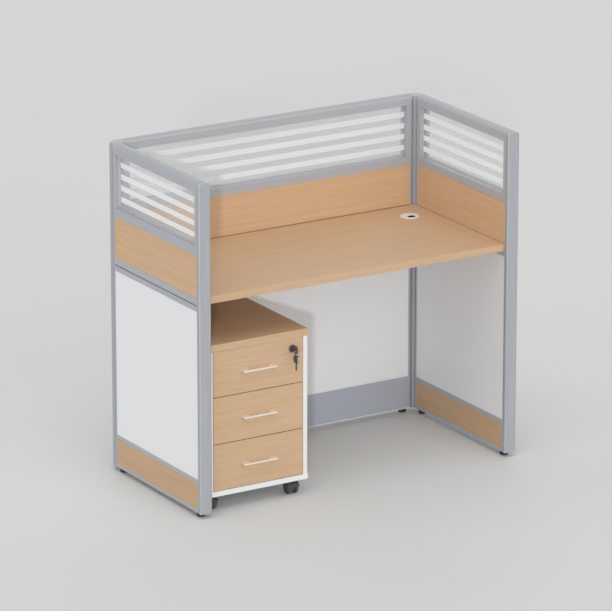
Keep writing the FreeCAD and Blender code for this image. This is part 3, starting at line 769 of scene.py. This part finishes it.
def corner_post(side):
    """A post with a quarter-round outer corner, its top rounded like the caps that run up to it."""
    node = side + "_corner_post"
    low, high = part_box(node)
    inner, outer = (high.x, low.x) if side == "left" else (low.x, high.x)
    hand = math.copysign(1, outer - inner)
    bend = Vector((inner + hand * post_land * MM, low.y + post_land * MM, low.z))
    radius = abs(outer - bend.x)
    plan = [Vector((inner, low.y, low.z)), Vector((outer, low.y, low.z))]
    for step in range(post_steps + 1):
        turn = math.radians(90 * step / post_steps)
        plan.append(bend + radius * Vector((hand * math.cos(turn), math.sin(turn), 0)))
    plan.append(Vector((inner, high.y, low.z)))
    bm = bmesh.new()
    foot = bm.faces.new([bm.verts.new(point) for point in plan])
    raised = bmesh.ops.extrude_face_region(bm, geom=[foot], use_keep_orig=True)["geom"]
    verts = [item for item in raised if isinstance(item, bmesh.types.BMVert)]
    bmesh.ops.translate(bm, verts=verts, vec=Vector((0, 0, high.z - low.z)))
    bmesh.ops.recalc_face_normals(bm, faces=bm.faces)
    tiny = touch * MM
    crown = [edge for edge in bm.edges
             if min(vert.co.z for vert in edge.verts) > high.z - tiny
             and max(vert.co.y for vert in edge.verts) > low.y + tiny
             and max(abs(vert.co.x - inner) for vert in edge.verts) > tiny]
    bmesh.ops.bevel(bm, geom=crown, offset=cap_round * MM, offset_type="OFFSET", affect="EDGES",
                    segments=round_segments, profile=0.5, material=-1)
    make(node + "_rounded", bm, [trim_aluminium], body_of(node), node)


for side in ("left", "back", "right"):
    screen_frame(side)
    glazing(side)
    glass_bands(side)
    seam_strips(side)
    paint(glass[side], side + "_glass")
    paint(white, side + "_centre_panel")
    paint(beech_x if side == "back" else beech_y, side + "_upper_panel")
paint(beech_kick_shaded, "left_kick_panel", "right_kick_panel")
lip_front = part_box("back_kick_plate")[0].y
# The lip's faces take the pale tone, a painted highlight
eased("back_kick_plate", [grey_paint, lip], sheet_ease,
      lambda face: 1 if face.calc_center_median().y < lip_front + lip_d * MM else 0)
for side in ("left", "right"):
    end_trim(side)
    corner_post(side)


# Levelling feet: the pad's outline is (radius, height)

pad_r = 13.5
pad_groove_r = 12.9
pad_h = 12.0
foot_pad = ((0, 0), (12.6, 0), (pad_r, 0.8), (pad_r, 4.5), (pad_groove_r, 5.2),
            (pad_groove_r, 6.4), (pad_r, 7.0), (pad_r, 9.6), (11.5, 11.6), (5.0, pad_h), (0, pad_h))
stem_r = 4.0
stem_root_r = 3.4
stem_top = 26.8
thread_steps = 15
nut_r = 7.5
nut_h = 3.4
nut_middle = 13.8
nut_ease = 0.4


def levelling_foot(node):
    """A ribbed pad under a hexagon nut and a threaded stem."""
    low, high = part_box(node)
    centre = (low + high) / 2
    centre.z = 0
    bm = bmesh.new()
    turned(bm, foot_pad, centre, ALONG_Z)
    thread = [(stem_r if step % 2 else stem_root_r, pad_h + step) for step in range(thread_steps)]
    turned(bm, [(0, pad_h)] + thread + [(0, stem_top)], centre, ALONG_Z, steps=20, place=1)
    stand = Matrix.Translation(centre + Vector((0, 0, nut_middle * MM)))
    nut = bmesh.ops.create_cone(bm, cap_ends=True, segments=6, radius1=nut_r * MM,
                                radius2=nut_r * MM, depth=nut_h * MM, matrix=stand)
    edges = list({edge for vert in nut["verts"] for edge in vert.link_edges})
    bmesh.ops.bevel(bm, geom=edges, offset=nut_ease * MM, offset_type="OFFSET", affect="EDGES",
                    segments=2, profile=0.5, material=-1)
    for face in bm.faces:
        if all(vert.co.z > (pad_h + touch) * MM for vert in face.verts):
            face.material_index = 1
    make(node + "_turned", bm, [black, zinc], body_of(node), node)


for node in frame["nodes"]:
    if node.startswith("foot_"):
        levelling_foot(node)


# Worktop

def front_face_shade(face):
    """The second material on faces that look to the front, the first elsewhere: the front faces
    take a darker copy of the beech as painted shade.
    """
    return 1 if face.normal.y < -front_edge else 0


worktop_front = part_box("worktop")[0].y
eased("worktop", [beech_x, beech_fronts_shaded], worktop_ease, front_face_shade,
      where=lambda edge: all(vert.co.y < worktop_front + edge_reach * MM for vert in edge.verts))
paint(zinc, "worktop_brackets", "bracket_screws")


def worktop_junction_shade():
    """A thin strip along the worktop's back and ends that fills the ledge before the panels; its
    brown is painted shade of the joint.
    """
    low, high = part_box("worktop")
    bm = bmesh.new()
    for side in ("left", "back", "right"):
        across = 1 - run_of(side)
        lap, rise = shade_strip_sizes[side]
        near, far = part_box(side + "_upper_panel")
        if side == "left":
            near[across], far[across] = far[across], low[across] + lap * MM
        else:
            near[across], far[across] = high[across] - lap * MM, near[across]
        near.z, far.z = high.z, high.z + rise * MM
        block(bm, near, far, shade_strip_ease)
    make("worktop_junction_shade", bm, [painted_junction_shade], "screens")


worktop_junction_shade()


# Grommet: its radii and heights; its flange and its mouth are rolled over points of (inset, drop)

sleeve_bore_r = 25.0
sleeve_r = 29.5
seat_r = 27.05
flange_r = 33.0
flange_h = 3.0
flange_ease = 0.4
flange_roll = ((0.0, 1.2), (0.6, 0.3), (1.6, 0.0))
mouth_roll = ((-0.55, 0.0), (0.0, 0.5))
# A black tube inside the sleeve that stands for the shade in it: painted shade
sleeve_shade_r = 24.2
sleeve_shade_outer_r = 24.95
sleeve_shade_lift = 0.2
sleeve_shade_drop = 0.1
slot_reach = 25.6
slot_slope = 0.5
grommet_cap_ease = 0.3
grommet_cap_least = 0.5


def grommet():
    """A moulded ring with a rolled flange, a black tube in its sleeve that is painted shade, and
    the turning cap, whose slot walls are painted black as shade.
    """
    low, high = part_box("grommet_ring")
    centre = (low + high) / 2
    centre.z = 0
    top = high.z / MM
    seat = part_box("grommet_cap")[0].z / MM
    bottom = low.z / MM
    flange_foot = top - flange_h
    ring = [(sleeve_bore_r, bottom), (sleeve_r, bottom), (sleeve_r, flange_foot),
            (flange_r - flange_ease, flange_foot), (flange_r, flange_foot + flange_ease)]
    ring += [(flange_r - inset, top - drop) for inset, drop in flange_roll]
    ring += [(seat_r - inset, top - drop) for inset, drop in mouth_roll]
    ring += [(seat_r, seat), (sleeve_bore_r, seat)]
    bm = bmesh.new()
    turned(bm, ring, centre, ALONG_Z, steps=64, closed=True)
    make("grommet_ring_turned", bm, [ivory], "screens", "grommet_ring")
    sleeve_shade = bmesh.new()
    foot, head = bottom + sleeve_shade_lift, seat - sleeve_shade_drop
    wall = ((sleeve_shade_r, foot), (sleeve_shade_outer_r, foot), (sleeve_shade_outer_r, head), (sleeve_shade_r, head))
    turned(sleeve_shade, wall, centre, ALONG_Z, steps=64, closed=True)
    make("grommet_sleeve_shade", sleeve_shade, [black], "screens")
    # The walls of the cap's slot take the black: painted shade
    eased("grommet_cap", [ivory, black], grommet_cap_ease, least=grommet_cap_least,
          pick=lambda face: 1 if abs(face.normal.z) < slot_slope
          and (face.calc_center_median() - centre).to_2d().length < slot_reach * MM else 0)


grommet()


# Pedestal

def pedestal_top():
    """The board over the drawers, with a dark brown line of painted shade let into its top along
    the right edge.
    """
    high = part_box("pedestal_top")[1]
    line = high.x - (top_ease + top_edge_shade_w / 2) * MM

    def finish_of(face):
        off_line = abs(face.calc_center_median().x - line)
        # A strip along the right edge of the top takes the dark brown, painted shade
        if face.normal.z > squarely and off_line < top_edge_shade_w / 2 * MM:
            return 2
        return front_face_shade(face)

    eased("pedestal_top", [beech_x, beech_fronts_shaded, top_edge_shade], top_ease, finish_of,
          where=lambda edge: all(vert.co.z > high.z - edge_reach * MM for vert in edge.verts),
          carve=lambda bm: score(bm, whole(bm), 0, line, top_edge_shade_w, Vector(ALONG_Z)))


pedestal_top()
eased("pedestal_base", [white], carcass_ease)
for node in ("pedestal_left_side", "pedestal_right_side", "pedestal_back"):
    eased(node, [warm_white], carcass_ease)
paint(zinc, "pedestal_runners")
for level in ("top", "middle", "bottom"):
    drawer = "drawer_" + level
    top_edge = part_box(drawer + "_front")[1].z - edge_reach * MM
    # The upper edges of the middle and bottom drawer fronts take the deep brown: painted shade of
    # the seam above them
    eased(drawer + "_front", [beech_fronts_shaded, drawer_seam_shade], front_ease,
          lambda face: 1 if level != "top" and face.normal.z > drawer_top else 0,
          where=lambda edge: any(vert.co.z < top_edge for vert in edge.verts))
    eased(drawer + "_handle", [handle_metal], handle_ease, segments=3)
    paint(foil, drawer + "_box")
    paint(zinc, drawer + "_slides")


# Lock and keys: the rosette's outline is (radius, distance behind the mouth)

rosette_r = 13.0
rosette_h = 3.0
barrel_bore_r = 6.05
barrel_r = 9.0
rosette_dome = ((barrel_bore_r, 0.6), (6.8, 0.0), (8.4, 0.1), (9.6, 0.7), (10.4, 0.7),
                (11.6, 0.5), (12.6, 1.2), (rosette_r, 2.2))
barrel_ease = 0.5
key_ease = 0.6
key_least = 0.3
key_blade_reach = 2.2
spare_ease = 0.5
spare_blade_h = 26.2
spare_ring_h = 17.5
bow_edge_facing = 0.8


def lock_face():
    """A domed rosette round a turned barrel."""
    low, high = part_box("lock_barrel")
    centre = (low + high) / 2
    centre.y = 0
    mouth = low.y / MM
    tail = high.y / MM
    profile = [(radius, mouth + depth) for radius, depth in rosette_dome]
    profile += [(rosette_r, mouth + rosette_h), (barrel_r, mouth + rosette_h),
                (barrel_r, tail - barrel_ease), (barrel_r - barrel_ease, tail),
                (barrel_bore_r, tail)]
    bm = bmesh.new()
    turned(bm, profile, centre, ALONG_Y, closed=True)
    make("lock_rosette", bm, [bronze], body_of("lock_barrel"), "lock_barrel")


lock_face()
paint(bronze, "lock_plug")
lock_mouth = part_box("lock_barrel")[0].y
eased("lock_key", [cover, nickel], key_ease,
      lambda face: 1 if face.calc_center_median().y > lock_mouth - key_blade_reach * MM else 0,
      least=key_least)
spare_low, spare_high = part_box("spare_key")


def spare_key_finish(face):
    """Black covers on the bow's sides, bright metal on its edges and the ring, a dark blade."""
    z = face.calc_center_median().z
    if z < spare_low.z + spare_blade_h * MM:
        return 2
    on_ring = z > spare_high.z - spare_ring_h * MM
    return 1 if on_ring or abs(face.normal.y) > bow_edge_facing else 0


eased("spare_key", [cover, nickel, bronze], spare_ease, spare_key_finish, least=key_least)


# Casters: the tyre's inner shoulder is (inset from the tread, distance from the inner face)

tyre_w = 12.0
tyre_round = 6.0
tyre_facet = 15
tyre_shoulder = ((1.5, 0.0), (0.4, 0.4), (0.0, 1.5))
hub_rim = 7.0
hub_dish = 0.8
boss_r = 7.0
boss_drop = 0.1
wheel_bore_r = 3.2
axle_r = 3.0
fork_ease = 0.5
fork_least = 1.0


def caster_wheels(node):
    """Two tyres with domed outer faces and dished hubs on one axle, which runs the wider way."""
    low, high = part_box(node)
    centre = (low + high) / 2
    axle = ALONG_X if high.x - low.x > high.y - low.y else ALONG_Y
    half = max(high.x - low.x, high.y - low.y) / 2 / MM
    inner = half - tyre_w
    radius = (high.z - low.z) / 2 / MM
    bm = bmesh.new()
    turns = [math.radians(turn) for turn in range(0, 91, tyre_facet)]
    dome = [(radius - tyre_round + tyre_round * math.cos(turn),
             half - tyre_round + tyre_round * math.sin(turn)) for turn in turns]
    dish = half - hub_dish
    hub = [(radius - hub_rim, half), (radius - hub_rim - hub_dish, dish), (boss_r, dish),
           (boss_r - hub_dish, half - boss_drop), (wheel_bore_r, half - boss_drop)]
    edge = [(wheel_bore_r, inner)]
    edge += [(radius - inset, inner + depth) for inset, depth in tyre_shoulder]
    for hand in (-1, 1):
        turned(bm, edge + dome + hub, centre, hand * Vector(axle), steps=48, closed=True)
    axle_line = ((0, -half), (axle_r, -half), (axle_r, half), (0, half))
    turned(bm, axle_line, centre, axle, steps=24)
    make(node + "_turned", bm, [nylon], body_of(node), node)


for corner in ("front_left", "front_right", "back_left", "back_right"):
    caster_wheels("caster_" + corner + "_wheels")
    eased("caster_" + corner + "_fork", [nylon], fork_ease, least=fork_least)


# Studio: a pale floor, a low key light from the front left, four soft lights and an even sky

def studio_floor():
    """A matt pale grey studio floor with the faintest mottling."""
    mat = finish("studio_floor", "", "D8D9D8", 0.8, Specular_IOR_Level=0.1)
    mottling = grain(mat, evenly(floor_patch), detail=1.0)
    dress(mat, mottling, ("D7D8D7", "D9DAD9"), (0.78, 0.84), 0.0)
    bm = bmesh.new()
    bmesh.ops.create_grid(bm, x_segments=1, y_segments=1, size=floor_half_m)
    mesh = bpy.data.meshes.new("studio_floor")
    bm.to_mesh(mesh)
    bm.free()
    mesh.materials.append(mat)
    floor = bpy.data.objects.new("studio_floor", mesh)
    bpy.context.scene.collection.objects.link(floor)


def lamp(name, spread, strength, towards):
    """A distant light; strength is the share of full white that it gives a face turned to it."""
    data = bpy.data.lights.new(name, "SUN")
    data.angle = math.radians(spread)
    data.energy = strength * math.pi
    light = bpy.data.objects.new(name, data)
    light.rotation_euler = Vector(towards).to_track_quat("Z", "Y").to_euler()
    bpy.context.scene.collection.objects.link(light)


def sky(strength):
    """An even white sky."""
    world = bpy.data.worlds.new("studio_sky")
    bpy.context.scene.world = world
    world.use_nodes = True
    background = world.node_tree.nodes["Background"]
    background.inputs["Color"].default_value = linear("FFFFFF")
    background.inputs["Strength"].default_value = strength


def photo_camera():
    """The photograph's viewpoint, worked out from its yaw, pitch, distance and focal length."""
    yaw = math.radians(camera_yaw)
    pitch = math.radians(camera_pitch)
    level = math.cos(pitch)
    forward = Vector((math.sin(yaw) * level, math.cos(yaw) * level, -math.sin(pitch)))
    data = bpy.data.cameras.new("photo_camera")
    data.sensor_width = sensor_w
    data.sensor_fit = "HORIZONTAL"
    data.lens = camera_focal_px * sensor_w / photo_w
    data.clip_end = sight_m
    camera = bpy.data.objects.new("photo_camera", data)
    camera.location = Vector(camera_aim) * MM - forward * camera_distance * MM
    camera.rotation_euler = forward.to_track_quat("-Z", "Y").to_euler()
    bpy.context.scene.collection.objects.link(camera)
    bpy.context.scene.camera = camera


studio_floor()
for name, spread, strength, towards in lamps:
    lamp(name, spread, strength, towards)
sky(sky_strength)
photo_camera()
bpy.context.scene.view_settings.view_transform = "Standard"
